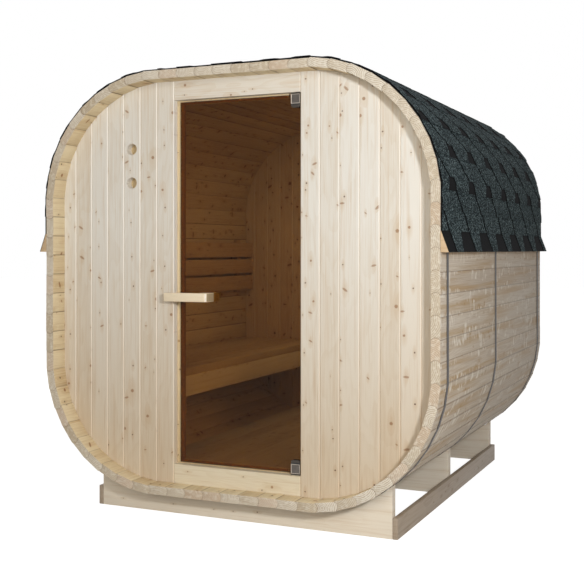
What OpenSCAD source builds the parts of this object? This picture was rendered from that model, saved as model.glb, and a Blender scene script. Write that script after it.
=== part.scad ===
// Cube sauna: a soft-cornered square shell of ball-and-cove staves, lying on cradles,
// with a wall of tongue-and-groove boards at each end, a pivoting glass door and a
// shingled roof. X runs to the right seen from the front, the front faces -Y, +Z is up.
// The origin is on the ground, under the middle of the shell.

/* [Shell] */
// Length of the shell from front edge to back edge
shell_len = 2350; // [1600:10:3000]
// Cover width of one stave
stave_w = 97; // [80:1:120]
// Thickness of a stave
stave_t = 42; // [34:1:52]
// Staves on each flat side
flat_staves = 9; // [5:2:13]
// Inclined staves in each corner
corner_staves = 9; // [5:1:12]
// Radius of the rounded edge of a stave past half of its thickness
ball_extra = 4; // [2:0.5:8]
// Play between a rounded edge and the hollow edge that it sits in
cove_play = 0.3; // [0.1:0.1:1]
// Gap under the lowest staves
shell_clear = 115; // [90:1:200]

/* [Walls] */
// Thickness of the wall boards
wall_t = 42; // [34:1:52]
// Cover width of a wall board
board_w = 96; // [80:1:120]
// Depth of the groove in the staves that holds a wall
croze_depth = 10; // [6:1:14]
// Play of a wall in its groove
croze_play = 0.5; // [0.3:0.1:1.5]
// Setback of the front wall from the front edge of the shell
front_recess = 100; // [60:5:300]
// Setback of the rear wall from the back edge of the shell
rear_recess = 60; // [40:5:200]
// Size of the V joint between boards
vee = 4.5; // [1:0.5:6]
// Length of a tongue
tongue_len = 8; // [5:1:10]
// Thickness of a tongue
tongue_t = 12; // [8:1:16]

/* [Vents] */
// Diameter of a vent hole
vent_d = 57; // [40:1:80]
// Height of the upper vent hole above the ground
vent_z = 1800; // [1700:5:1850]
// Distance between the two vent holes
vent_pitch = 168; // [120:1:220]

/* [Door] */
// Boards that the door opening replaces
door_boards = 7; // [5:2:9]
// Height of the door opening
opening_h = 1781; // [1500:5:1800]
// Thickness of the glass
glass_t = 8; // [6:1:10]
// Gap between the glass and the opening on the hinge side
glass_gap = 8; // [6:0.5:12]
// Gap between the glass and the opening on the latch side
latch_gap = 23; // [8:1:26]
// Gap between the glass and the stops behind it
stop_gap = 8; // [5:0.5:14]
// How far the glass laps a door stop
stop_cover = 12; // [8:1:16]
// How far a door stop laps onto the inner face of the wall
stop_lap = 18; // [12:1:30]
// Thickness of a door stop
stop_t = 19; // [12:1:30]
// Distance of the door pivot from the hinge side of the opening
pivot_inset = 32; // [24:1:60]
// Width of a hinge clamp
clamp_w = 45; // [36:1:60]
// Height of a hinge clamp
clamp_h = 66; // [50:1:90]
// Thickness of a clamp jaw
jaw_t = 7; // [5:0.5:10]
// Diameter of the hinge pins
pin_d = 10; // [8:1:14]

/* [Handle] */
// Length of the outer handle bar
handle_len = 232; // [160:1:300]
// Height of the handle bars and blocks
handle_h = 42; // [30:1:60]
// Thickness of a handle bar
handle_t = 26; // [18:1:36]
// Length of the outer handle bar past the edge of the opening
handle_past = 24; // [0:1:60]
// Height of the middle of the handles above the ground
handle_z = 1069; // [950:1:1200]
// Distance of the outer bar from the glass
handle_reach = 57; // [50:1:90]
// Length of the inner handle bar
inner_len = 158; // [120:1:160]
// Distance of the inner bar from the glass
inner_reach = 34; // [30:1:50]

/* [Roof] */
// Height of the lower edge of the roof above the middle of the shell
eave_rise = 148; // [80:1:260]
// Width of the eave wedge at its lower edge
eave_w = 36; // [20:1:60]
// Height of the eave wedge
eave_h = 92; // [60:1:140]
// Part of the lowest shingle course that the next one leaves bare
first_bare = 185; // [150:1:220]
// Part of the second course that the next one leaves bare
second_bare = 92; // [90:1:160]
// Part of each further course that the next one leaves bare
exposure = 156.5; // [130:0.5:180]
// Part of the lowest course that the next one covers
first_lap = 40; // [20:1:60]
// Part of a further course that the next one covers, more than the height of a cut-out
lap = 72; // [66:1:100]
// Thickness of a shingle
shingle_t = 3; // [2:0.5:5]
// Thickness of the roofing felt under the shingles
felt_t = 2; // [1:0.5:4]
// Setback of the shingles from each end of the shell
shingle_inset = 4; // [0:1:20]
// Width of a shingle tab together with its cut-out
tab_w = 354; // [320:1:400]
// Width of a cut-out at the lower edge of its course
cut_w = 131; // [100:1:150]
// Height of a cut-out
cut_h = 60; // [40:1:65]
// Width of a cut-out of the lowest course at its lower edge
eave_cut_w = 235; // [180:1:250]
// Height of a cut-out of the lowest course
eave_cut_h = 97; // [60:1:110]
// Distance of the first cut-out of the third course from the front edge of the shell
first_cut = 120; // [0:1:300]
// Width of the slit between two tabs
slit_w = 12; // [4:0.5:16]
// Width of the strip that covers the joint along the top
cap_w = 160; // [120:1:220]

/* [Base and straps] */
// Length of the base rails
base_len = 1970; // [1200:10:2300]
// Setback of the base from the front edge of the shell
base_inset = 136; // [60:1:300]
// Outer width over the two base rails
base_w = 1588; // [1400:2:1800]
// Thickness of a base rail
rail_t = 25; // [18:1:45]
// Height of a base rail
rail_h = 96; // [60:1:140]
// Thickness of a cradle board
cradle_t = 45; // [30:1:60]
// Height of a cradle at its ends
cradle_h = 256; // [200:1:300]
// Width of a strap
strap_w = 30; // [15:1:40]
// Thickness of a strap
strap_t = 1.2; // [0.8:0.1:2]
// Setback of the front and rear straps from the ends of the shell
strap_inset = 100; // [60:1:400]

/* [Interior] */
// Thickness of the floor boards
floor_t = 28; // [18:1:40]
// Number of floor boards
floor_boards = 12; // [6:1:12]
// Height of a floor joist
joist_h = 45; // [30:1:60]
// Height of the seat above the ground
seat_z = 685; // [550:5:800]
// Depth of the seat from the side wall to its front edge
seat_depth = 560; // [400:5:700]
// Thickness of the seat boards
seat_t = 42; // [26:1:50]
// Height of the fascia under the seat edge
fascia_h = 105; // [60:1:160]
// Thickness of fascia and backrest boards
trim_t = 27; // [18:1:40]
// Height of a backrest board
back_h = 96; // [60:1:120]
// Gap between backrest boards
back_gap = 16; // [8:1:30]
// Height of the lowest backrest board above the seat
back_lift = 340; // [200:5:500]

/* [Hidden] */

PINE = "#E2D6BE";
PINE_DARK = "#CDB487";
PINE_GREY = "#AA9B8C";
SHINGLE = "#506969";
STEEL = "#5A5C60";
CHROME = "#C9CBCE";
GLASS = [0.32, 0.2, 0.1, 0.55];

// Play between pieces that rest on or against each other
seat_play = 0.3;
// How far a cutter runs past what it cuts
over = 1;

// ---- The ring of staves ----
ball_r = stave_t / 2 + ball_extra;
bend = 90 / (corner_staves + 1);
side_staves = flat_staves + corner_staves;
ring_staves = 4 * side_staves;
corner_run = sum([for (k = [1 : corner_staves]) stave_w * cos(k * bend)]);
ring_half = flat_staves * stave_w / 2 + corner_run;
shell_half = ring_half + stave_t / 2;
shell_z = shell_clear + shell_half;
shell_front = -shell_len / 2;
shell_back = shell_len / 2;

function sum(v, i = 0) = i < len(v) ? v[i] + sum(v, i + 1) : 0;
function unit(v) = v / norm(v);
// Direction of stave i, turning to the left all round from the lower left
function heading(i) = 90 * floor(i / side_staves)
  + bend * max(0, i % side_staves - flat_staves + 1);
function step(i) = stave_w * [cos(heading(i)), sin(heading(i))];
// A closed outline moved out by d, or in where d is less than 0
function grow(p, d) = [for (i = [0 : len(p) - 1])
  let (n = len(p), u = unit(p[i] - p[(i + n - 1) % n]), v = unit(p[(i + 1) % n] - p[i]),
       a = [u.y, -u.x], b = [v.y, -v.x])
  p[i] + d * (a + b) / (1 + a * b)];

// Points about which neighbouring staves turn
ring = [for (i = 0, p = [-flat_staves * stave_w / 2, shell_z - ring_half];
  i < ring_staves; p = p + step(i), i = i + 1) p];
// How far the face of a stave runs past the point about which it turns
lip_run = sqrt(pow(ball_r, 2) - pow(stave_t / 2, 2));
// The outer edges that stand proud at the bends: what a tight strap touches
lips = [for (i = [0 : ring_staves - 1])
  if (i % side_staves >= flat_staves - 1)
    let (h = heading(i), p = ring[(i + 1) % ring_staves])
    p + lip_run * [cos(h), sin(h)] + stave_t / 2 * [sin(h), -cos(h)]];

// ---- Walls, door, floor and bench, all placed from the ring ----
wall_front_y = shell_front + front_recess;
wall_inner_y = wall_front_y + wall_t;
rear_inner_y = shell_back - rear_recess - wall_t;
room_len = rear_inner_y - wall_inner_y;
wall_outline = grow(ring, -(stave_t / 2 - croze_depth + croze_play));
wall_half = ring_half - (stave_t / 2 - croze_depth + croze_play);
opening_w = door_boards * board_w;
opening_z = shell_z - opening_h / 2;
side_boards = ceil((wall_half - opening_w / 2) / board_w);
joint = 0.3;
room_half = ring_half - stave_t / 2;
room_floor_z = shell_z - room_half;
// Clear of the inner edges that stand proud at the bends
lip_inset = 3;
room_outline = grow(ring, -(stave_t / 2 + lip_inset));

stop_y = wall_inner_y + seat_play;
glass_y = stop_y - stop_gap - glass_t;
pivot_x = opening_w / 2 - pivot_inset;
pivot_y = glass_y + glass_t / 2;
pin_play = 0.05;
// Plates let into the sill and the header, which the hinge pins turn in
plate_t = 8;
plate_proud = 1;
plate_len = clamp_w + 6;
plate_w = 22;
plate_play = 0.3;
// Between a plate and the clamp that turns over it
clamp_gap = 2.5;
clamp_z = plate_proud + clamp_gap;
// Thickness of the clamp under the edge of the glass
clamp_base = 5;
slot_play = 0.3;
edge_gap = clamp_z + clamp_base + slot_play;

// Occupies y0 to y1, with the child's outline seen from the front
module along_y(y0, y1) {
  translate([0, y1, 0])
    rotate([90, 0, 0])
      linear_extrude(y1 - y0)
        children();
}

// Box between two corners
module block(low, high) {
  translate(low)
    cube(high - low);
}

// ---- Staves ----
module stave_profile() {
  difference() {
    union() {
      translate([0, -stave_t / 2])
        square([stave_w + lip_run, stave_t]);
      intersection() {
        translate([stave_w, 0])
          circle(r = ball_r, $fn = 96);
        translate([stave_w, -stave_t / 2])
          square([ball_r, stave_t]);
      }
    }
    circle(r = ball_r + cove_play, $fn = 96);
  }
}

module stave(i) {
  difference() {
    along_y(shell_front, shell_back)
      translate(ring[i])
        rotate(heading(i))
          stave_profile();
    croze(i, wall_front_y);
    croze(i, rear_inner_y);
  }
}

// Groove across the inner face of stave i for a wall that starts at y
module croze(i, y) {
  along_y(y - croze_play, y + wall_t + croze_play)
    translate(ring[i])
      rotate(heading(i))
        translate([-ball_r, stave_t / 2 - croze_depth])
          square([stave_w + 3 * ball_r, croze_depth + over]);
}

// A flat run, or the corner after it, on side 0 bottom, 1 right, 2 top, 3 left
module flat_side(side) {
  color(side == 0 || side == 2 ? PINE : PINE_GREY)
    for (i = [0 : flat_staves - 1])
      stave(side * side_staves + i);
}

module round_corner(side) {
  color(PINE_GREY)
    for (i = [flat_staves : side_staves - 1])
      stave(side * side_staves + i);
}

// ---- End walls ----
// Plan of a board from x = 0 to board_w, groove on the left and tongue on the right
module board_plan(groove, tongue) {
  left = joint / 2;
  right = board_w - joint / 2;
  difference() {
    union() {
      polygon([[left + vee, 0], [right - vee, 0], [right, vee], [right, wall_t - vee],
        [right - vee, wall_t], [left + vee, wall_t], [left, wall_t - vee], [left, vee]]);
      if (tongue)
        translate([right - over, (wall_t - tongue_t) / 2])
          square([tongue_len + over, tongue_t]);
    }
    if (groove)
      translate([left - over, (wall_t - tongue_t) / 2 - joint])
        square([tongue_len + 2 * over, tongue_t + 2 * joint]);
  }
}

// Boards first to last of a wall at y, counted from x0, cut to the wall's outline
module boards(x0, y, first, last, open_left, open_right) {
  for (k = [first : last])
    intersection() {
      translate([x0 + k * board_w, y, shell_z - shell_half])
        linear_extrude(2 * shell_half)
          board_plan(!(open_left && k == first), !(open_right && k == last));
      wall_blank(y);
    }
}

module wall_blank(y) {
  along_y(y - over, y + wall_t + over)
    polygon(wall_outline);
}

module front_wall_left() {
  color(PINE)
    difference() {
      boards(-opening_w / 2, wall_front_y, -side_boards, -1, false, true);
      vent_holes();
    }
}

module front_wall_right() {
  color(PINE)
    boards(opening_w / 2, wall_front_y, 0, side_boards - 1, true, false);
}

// Both holes are in the middle of the third board from the door
vent_x = -opening_w / 2 - 2.5 * board_w;
module vent_holes() {
  for (z = [vent_z, vent_z - vent_pitch])
    translate([vent_x, wall_front_y - over, z])
      rotate([-90, 0, 0])
        cylinder(h = wall_t + 2 * over, d = vent_d, $fn = 64);
}

module cross_board(z0, z1) {
  half = opening_w / 2 - joint / 2;
  color(PINE)
    difference() {
      intersection() {
        translate([0, wall_front_y, z0])
          linear_extrude(z1 - z0)
            polygon([[-half + vee, 0], [half - vee, 0], [half, vee], [half, wall_t - vee],
              [half - vee, wall_t], [-half + vee, wall_t], [-half, wall_t - vee], [-half, vee]]);
        wall_blank(wall_front_y);
      }
      plate_pocket();
    }
}

module door_header() {
  cross_board(opening_z + opening_h, shell_z + shell_half);
}

module door_sill() {
  cross_board(shell_z - shell_half, opening_z);
}

// The rear wall has a board on its middle line
rear_boards = ceil(wall_half / board_w - 0.5);
rear_third = floor((2 * rear_boards + 1) / 6);
module rear_wall(first, last) {
  color(PINE)
    boards(-board_w / 2, rear_inner_y, first, last, false, false);
}

// Sliding board that closes both vent holes from inside, between two runners
slider_w = 1.6 * vent_d;
slider_h = vent_pitch + 2 * vent_d;
slider_t = 15;
runner_w = 18;
module vent_slider() {
  z0 = vent_z - vent_pitch / 2 - slider_h / 2;
  y0 = wall_inner_y + seat_play;
  color(PINE_DARK) {
    block([vent_x - slider_w / 2, y0, z0], [vent_x + slider_w / 2, y0 + slider_t, z0 + slider_h]);
    for (s = [-1, 1])
      translate([vent_x + s * (slider_w / 2 + joint + runner_w / 2), y0, z0])
        translate([-runner_w / 2, 0, 0])
          cube([runner_w, slider_t, slider_h]);
  }
}

// ---- Door stops: trim boards on the inner face of the wall, behind the glass ----
stop_x0 = -opening_w / 2 - stop_lap;
stop_x1 = -opening_w / 2 + latch_gap + stop_cover;
// Head and threshold stops end short of the hinge clamp's path
stop_end_x = pivot_x - clamp_w;
head_z0 = opening_z + opening_h - edge_gap - stop_cover;
threshold_z1 = opening_z + edge_gap + stop_cover;
module stop_board(x0, z0, x1, z1) {
  color(PINE)
    block([x0, stop_y, z0], [x1, stop_y + stop_t, z1]);
}

module door_stop_head() {
  stop_board(stop_x0, head_z0, stop_end_x, opening_z + opening_h + stop_lap);
}

// Stands on the floor
module door_stop_threshold() {
  stop_board(stop_x0, floor_top + seat_play, stop_end_x, threshold_z1);
}

module door_stop_left() {
  stop_board(stop_x0, threshold_z1 + seat_play, stop_x1, head_z0 - seat_play);
}

// ---- Door: glass, clamps with pins, plates in head and sill, handles ----
// Plate let into the sill at z = 0, with the pocket that it sits in grown by play
module plate_blank(play) {
  translate([pivot_x - plate_len / 2 - play, pivot_y - plate_w / 2 - play, plate_proud - plate_t - play])
    cube([plate_len + 2 * play, plate_w + 2 * play, plate_t + play]);
}

module plate_pocket() {
  translate([0, 0, opening_z])
    plate_blank(plate_play);
  translate([0, 0, opening_z + opening_h])
    mirror([0, 0, 1])
      plate_blank(plate_play);
}

// The pin's hole stops short of the underside, so that the clamp's pin bears in it
module pivot_plate() {
  difference() {
    plate_blank(0);
    translate([pivot_x, pivot_y, plate_proud - pin_len])
      cylinder(h = plate_t, d = pin_d + 2 * pin_play, $fn = 48);
  }
}

module pivot_plates() {
  color(STEEL) {
    translate([0, 0, opening_z])
      pivot_plate();
    translate([0, 0, opening_z + opening_h])
      mirror([0, 0, 1])
        pivot_plate();
  }
}

module door_glass() {
  color(GLASS)
    block([-opening_w / 2 + latch_gap, glass_y, opening_z + edge_gap],
      [opening_w / 2 - glass_gap, glass_y + glass_t, opening_z + opening_h - edge_gap]);
}

// Depth of the pin's hole and how far the pin stops above its bottom
pin_len = 6;
pin_end_play = 0.3;
module hinge_clamp() {
  body_t = glass_t + 2 * (jaw_t + slot_play);
  pin_z = plate_proud - pin_len + pin_end_play;
  color(CHROME)
    difference() {
      union() {
        translate([pivot_x - clamp_w / 2, pivot_y - body_t / 2, clamp_z])
          cube([clamp_w, body_t, clamp_h]);
        translate([pivot_x, pivot_y, pin_z])
          cylinder(h = clamp_z - pin_z + over, d = pin_d, $fn = 48);
      }
      translate([pivot_x - clamp_w / 2 - over, glass_y - slot_play, clamp_z + clamp_base])
        cube([clamp_w + 2 * over, glass_t + 2 * slot_play, clamp_h]);
    }
}

module hinge_clamp_bottom() {
  translate([0, 0, opening_z])
    hinge_clamp();
}

module hinge_clamp_top() {
  translate([0, 0, opening_z + opening_h])
    mirror([0, 0, 1])
      hinge_clamp();
}

handle_x0 = -opening_w / 2 - handle_past;
block_len = 58;
chamfer = 9;
module handle_bar(len) {
  translate([0, 0, handle_z - handle_h / 2])
    linear_extrude(handle_h)
      polygon([[0, 0], [len - chamfer, 0], [len, chamfer], [len, handle_t], [0, handle_t]]);
}

module door_handle_outer() {
  y = glass_y - seat_play - handle_reach;
  color(PINE_DARK)
    union() {
      translate([handle_x0, y - handle_t, 0])
        handle_bar(handle_len);
      block([handle_x0 + handle_len - block_len, y - over, handle_z - handle_h / 2],
        [handle_x0 + handle_len, glass_y - seat_play, handle_z + handle_h / 2]);
    }
}

module door_handle_inner() {
  y = glass_y + glass_t + seat_play;
  x1 = handle_x0 + handle_len;
  color(PINE_DARK)
    union() {
      block([x1 - block_len, y, handle_z - handle_h / 2],
        [x1, y + inner_reach + over, handle_z + handle_h / 2]);
      translate([x1 - inner_len, y + inner_reach, 0])
        translate([0, handle_t, 0])
          mirror([0, 1, 0])
            handle_bar(inner_len);
    }
}

// ---- Roof: courses of shingles laid from both eaves up to the middle ----
wedge_x = shell_half + seat_play;
eave_z = shell_z + eave_rise;
// Where the courses lie: up the wedge on the right, over the lips, down the left wedge
over_lips = grow(lips, seat_play);
wedge_tip = 1.5;
// The lowest lip that carries the roof is at least this far above the wedge
lip_start = 30;
roof_line = concat(
  [[wedge_x + eave_w, eave_z], [wedge_x + wedge_tip + seat_play, eave_z + eave_h]],
  [for (i = [0 : len(lips) - 1]) if (over_lips[i].y > eave_z + eave_h + lip_start) over_lips[i]],
  [[-wedge_x - wedge_tip - seat_play, eave_z + eave_h], [-wedge_x - eave_w, eave_z]]);
roof_run = [for (i = 0, d = 0; i < len(roof_line);
  d = d + (i + 1 < len(roof_line) ? norm(roof_line[i + 1] - roof_line[i]) : 0), i = i + 1) d];
roof_len = roof_run[len(roof_run) - 1];
roof_mid = roof_len / 2;
// How high a course lies on the felt and on the course under it, and the length over which it
// comes down from there
on_felt = felt_t + seat_play;
on_course = on_felt + shingle_t + seat_play;
ramp = 25;
// Distances of the lower edges of the courses from the eave
function bare(k) = k == 0 ? first_bare : k == 1 ? second_bare : exposure;
function covered(k) = k == 0 ? first_lap : lap;
edges = [for (k = 0, d = 0; d + lap + ramp < roof_mid - cap_w / 2; d = d + bare(k), k = k + 1) d];
last = len(edges) - 1;

// Outward direction of stretch j of the roof line
function stretch_normal(j) = let (u = unit(roof_line[j + 1] - roof_line[j])) [u.y, -u.x];
function stretch_at(d, j = 0) = j >= len(roof_line) - 2 || roof_run[j + 1] >= d ? j : stretch_at(d, j + 1);
// Point at distance d along the roof line, h above it
function roof_point(d, h) = let (j = stretch_at(d))
  roof_line[j] + (d - roof_run[j]) * unit(roof_line[j + 1] - roof_line[j]) + h * stretch_normal(j);
function roof_corner(j, h) = let (a = stretch_normal(j - 1), b = stretch_normal(j))
  roof_line[j] + h * (a + b) / (1 + a * b);
// One face of a strip: st lists distances along the roof with heights there, h is added
function strip_face(st, h) = [for (j = [0 : len(roof_line) - 2])
  each concat(
    min([for (s = st) abs(s.x - roof_run[j])]) > over
      && roof_run[j] > st[0].x && roof_run[j] < st[len(st) - 1].x
      ? [roof_corner(j, lookup(roof_run[j], st) + h)] : [],
    [for (s = st) if (stretch_at(s.x) == j) roof_point(s.x, s.y + h)])];
function reversed(v) = [for (i = [len(v) - 1 : -1 : 0]) v[i]];
function from_left(st) = [for (s = reversed(st)) [roof_len - s.x, s.y]];

module strip(st, t) {
  along_y(shell_front + shingle_inset, shell_back - shingle_inset)
    polygon(concat(strip_face(st, t), reversed(strip_face(st, 0))));
}

module felt(d0, d1) {
  strip([[d0, 0], [d1, 0]], felt_t);
}

// How much the sides of a cut-out lean, at its front and at its back
front_lean = 19;
back_lean = 34;
eave_lean = 85;
// Sideways run of a slit in the two lowest courses
slit_run = 100;
// Where a slit ends above the next course's edge, and how far it keeps from the ends
slit_past = 10;
slit_keep = 20;
// The back corners of a course's cut-outs: each course lies a third of a tab further back
function row_shift(k) = k == 0 ? 2 : k == 1 ? 0 : k - 2;
function backs(k) = let (b = (first_cut + cut_w + row_shift(k) * tab_w / 3) % tab_w)
  [for (n = [0 : ceil(shell_len / tab_w)]) shell_front + b + n * tab_w];

// Outlines with x along the roof from a cut-out's back corner, and y up it from the course's edge
module cut_out(k) {
  if (k == 0)
    polygon([[-eave_cut_w, -over], [0, -over], [0, eave_cut_h],
      [eave_lean - eave_cut_w, eave_cut_h], [-eave_cut_w, 0]]);
  if (k > 1)
    polygon([[-cut_w, -over], [0, -over], [0, 0], [-back_lean, cut_h],
      [front_lean - cut_w, cut_h], [-cut_w, 0]]);
}

module slit(from, to) {
  u = unit(to - from);
  a = from - over * u;
  b = to + slit_past * u;
  polygon([a, a + [slit_w, 0], b + [slit_w, 0], b]);
}

module tab_slit(k) {
  if (k == 0)
    slit([-slit_w, eave_cut_h], [-slit_run, first_bare]);
  if (k == 1)
    slit([slit_run, 0], [0, second_bare]);
  if (k > 1)
    slit([front_lean - cut_w, cut_h], [-2 * tab_w / 3, exposure]);
}

module course_cuts(k) {
  for (x = backs(k))
    translate([x, 0])
      cut_out(k);
  intersection() {
    for (x = backs(k))
      translate([x, 0])
        tab_slit(k);
    translate([shell_front + slit_keep, -over])
      square([shell_len - 2 * slit_keep, 2 * first_bare]);
  }
}

// Takes an outline through a course whose lower edge is at distance d and that runs up or down
// the roof line from there
cut_depth = 30;
module through_course(d, up, len) {
  foot = roof_point(d, 0);
  rise = unit(roof_point(d + up * len, 0) - foot);
  translate([foot.x, 0, foot.y])
    rotate([0, atan2(rise.x, rise.y), 0])
      rotate([90, 0, 90])
        linear_extrude(2 * cut_depth, center = true)
          children();
}

// Course k counted from an eave: its upper part lies on the felt, the rest on the course below
function course_lay(k) = let (d1 = k == last ? roof_mid - joint / 2 : edges[k + 1] + covered(k))
  k == 0 ? [[0, on_felt], [d1, on_felt]]
    : let (d = edges[k] + covered(k - 1))
      [[edges[k], on_course], [d, on_course], [d + ramp, on_felt], [d1, on_felt]];

module course_right(k) {
  difference() {
    strip(course_lay(k), shingle_t);
    through_course(edges[k], 1, bare(k))
      course_cuts(k);
  }
}

module course_left(k) {
  difference() {
    strip(from_left(course_lay(k)), shingle_t);
    through_course(roof_len - edges[k], -1, bare(k))
      mirror([1, 0])
        course_cuts(k);
  }
}

// Courses on the side of the shell and in the lower half of the corner
side_courses = 5;
felt_joint = edges[side_courses];
module shingles_right() {
  color(SHINGLE) {
    felt(0, felt_joint - joint / 2);
    for (k = [0 : side_courses - 1])
      course_right(k);
  }
}

module shingles_left() {
  color(SHINGLE) {
    felt(roof_len - felt_joint + joint / 2, roof_len);
    for (k = [0 : side_courses - 1])
      course_left(k);
  }
}

module shingles_top() {
  color(SHINGLE) {
    felt(felt_joint + joint / 2, roof_len - felt_joint - joint / 2);
    for (k = [side_courses : last]) {
      course_right(k);
      course_left(k);
    }
    strip([[roof_mid - cap_w / 2, on_course], [roof_mid + cap_w / 2, on_course]], shingle_t);
  }
}

module eave_wedge(side) {
  color(PINE_DARK)
    along_y(shell_front, shell_back)
      polygon([[side * wedge_x, eave_z], [side * (wedge_x + eave_w - seat_play), eave_z],
        [side * (wedge_x + wedge_tip), eave_z + eave_h], [side * wedge_x, eave_z + eave_h]]);
}

// ---- Straps ----
module strap(y) {
  color(STEEL)
    along_y(y - strap_w / 2, y + strap_w / 2)
      difference() {
        polygon(grow(lips, seat_play + strap_t));
        polygon(grow(lips, seat_play));
        translate([-2 * shell_half, eave_z - 2 * seat_play])
          square([4 * shell_half, 2 * shell_half]);
      }
}

// ---- Base ----
base_front = shell_front + base_inset;
base_back = base_front + base_len;
cradle_half = base_w / 2 - rail_t - seat_play;
module cradle(y) {
  color(PINE)
    along_y(y, y + cradle_t)
      difference() {
        translate([-cradle_half, 0])
          square([2 * cradle_half, cradle_h]);
        polygon(grow(lips, 2 * seat_play));
      }
}

cradle_mid_y = (base_front + base_back - cradle_t) / 2;
module base_rail(side) {
  x = side * (base_w - rail_t) / 2;
  color(PINE_GREY)
    block([x - rail_t / 2, base_front, 0], [x + rail_t / 2, base_back, rail_h]);
}

// ---- Floor ----
joist_w = 70;
flat_half = flat_staves * stave_w / 2 - ball_r;
floor_board_w = 94;
floor_joint = 1;
floor_pitch = floor_board_w + floor_joint;
floor_play = 3;
// From the walls to the middle of the outer joists
joist_end = 100;
module joist(y) {
  z0 = room_floor_z + seat_play;
  along_y(y - joist_w / 2, y + joist_w / 2)
    union() {
      translate([-flat_half, z0])
        square([2 * flat_half, joist_h - seat_play]);
      intersection() {
        translate([-floor_boards * floor_pitch / 2, z0])
          square([floor_boards * floor_pitch, joist_h - seat_play]);
        polygon(room_outline);
      }
    }
}

module floor_joists() {
  color(PINE_GREY)
    for (y = [wall_inner_y + joist_end, (wall_inner_y + rear_inner_y) / 2, rear_inner_y - joist_end])
      joist(y);
}

floor_top = room_floor_z + joist_h + seat_play + floor_t;
module floor_deck() {
  color(PINE_GREY)
    for (k = [0 : floor_boards - 1])
      translate([(k - floor_boards / 2) * floor_pitch + floor_joint / 2, wall_inner_y + floor_play,
          floor_top - floor_t])
        cube([floor_board_w, room_len - 2 * floor_play, floor_t]);
}

// ---- Bench along the left side, on bearers fixed to both end walls ----
seat_x0 = -room_half + lip_inset;
seat_x1 = -room_half + seat_depth;
seat_boards = 6;
seat_pitch = (seat_x1 - seat_x0) / seat_boards;
bench_y0 = wall_inner_y + seat_play;
bench_y1 = rear_inner_y - seat_play;
module bench_seat() {
  color(PINE_DARK)
    intersection() {
      for (k = [0 : seat_boards - 1])
        translate([seat_x0 + k * seat_pitch, bench_y0, seat_z - seat_t])
          cube([seat_pitch - joint, bench_y1 - bench_y0, seat_t]);
      along_y(bench_y0 - over, bench_y1 + over)
        polygon(room_outline);
    }
}

module bench_fascia() {
  z1 = seat_z - seat_t - seat_play;
  color(PINE_DARK)
    block([seat_x1 - joint - trim_t, bench_y0, z1 - fascia_h], [seat_x1 - joint, bench_y1, z1]);
}

bearer_w = 45;
module bench_bearers() {
  z1 = seat_z - seat_t - seat_play;
  mid = (bench_y0 + bench_y1 - bearer_w) / 2;
  color(PINE_DARK)
    intersection() {
      for (y = [bench_y0, mid, bench_y1 - bearer_w])
        block([-room_half, y, z1 - bearer_w], [seat_x1 - joint - trim_t - seat_play, y + bearer_w, z1]);
      along_y(bench_y0 - over, bench_y1 + over)
        polygon(room_outline);
    }
}

// ---- Backrest on the left side ----
batten_t = 28;
batten_w = 45;
batten_x = -room_half + seat_play;
back_boards = 3;
back_z = seat_z + back_lift;
back_play = 4;
// The battens run past the boards, and the outer ones stand in from the walls
batten_past = 20;
batten_end = 150;
module backrest_battens() {
  back_top = back_z + back_boards * (back_h + back_gap) - back_gap;
  color(PINE_DARK)
    for (y = [bench_y0 + batten_end, (bench_y0 + bench_y1 - batten_w) / 2,
        bench_y1 - batten_end - batten_w])
      block([batten_x, y, back_z - batten_past],
        [batten_x + batten_t, y + batten_w, back_top + batten_past]);
}

module backrest_boards() {
  x = batten_x + batten_t + seat_play;
  color(PINE_DARK)
    for (k = [0 : back_boards - 1])
      translate([x, bench_y0 + back_play, back_z + k * (back_h + back_gap)])
        cube([trim_t, bench_y1 - bench_y0 - 2 * back_play, back_h]);
}

flat_side(0);  // staves_bottom
round_corner(0);  // staves_bottom_right
flat_side(1);  // staves_right
round_corner(1);  // staves_top_right
flat_side(2);  // staves_top
round_corner(2);  // staves_top_left
flat_side(3);  // staves_left
round_corner(3);  // staves_bottom_left
front_wall_left();
front_wall_right();
door_header();
door_sill();
rear_wall(-rear_boards, -rear_third - 1);  // rear_wall_left
rear_wall(-rear_third, rear_third);  // rear_wall_middle
rear_wall(rear_third + 1, rear_boards);  // rear_wall_right
vent_slider();
door_stop_left();
door_stop_head();
door_stop_threshold();
pivot_plates();
door_glass();
hinge_clamp_top();
hinge_clamp_bottom();
door_handle_outer();
door_handle_inner();
shingles_right();
shingles_top();
shingles_left();
eave_wedge(1);  // eave_wedge_right
eave_wedge(-1);  // eave_wedge_left
strap(shell_front + strap_inset + strap_w / 2);  // strap_front
strap(cradle_mid_y - strap_w);  // strap_middle
strap(shell_back - strap_inset);  // strap_rear
cradle(base_front);  // cradle_front
cradle(cradle_mid_y);  // cradle_middle
cradle(base_back - cradle_t);  // cradle_rear
base_rail(-1);  // base_rail_left
base_rail(1);  // base_rail_right
floor_joists();
floor_deck();
bench_seat();
bench_fascia();
bench_bearers();
backrest_boards();
backrest_battens();
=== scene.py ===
"""Looks of the cube sauna: its finishes, shingles, door fittings and screws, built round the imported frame."""

import math
import random

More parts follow.
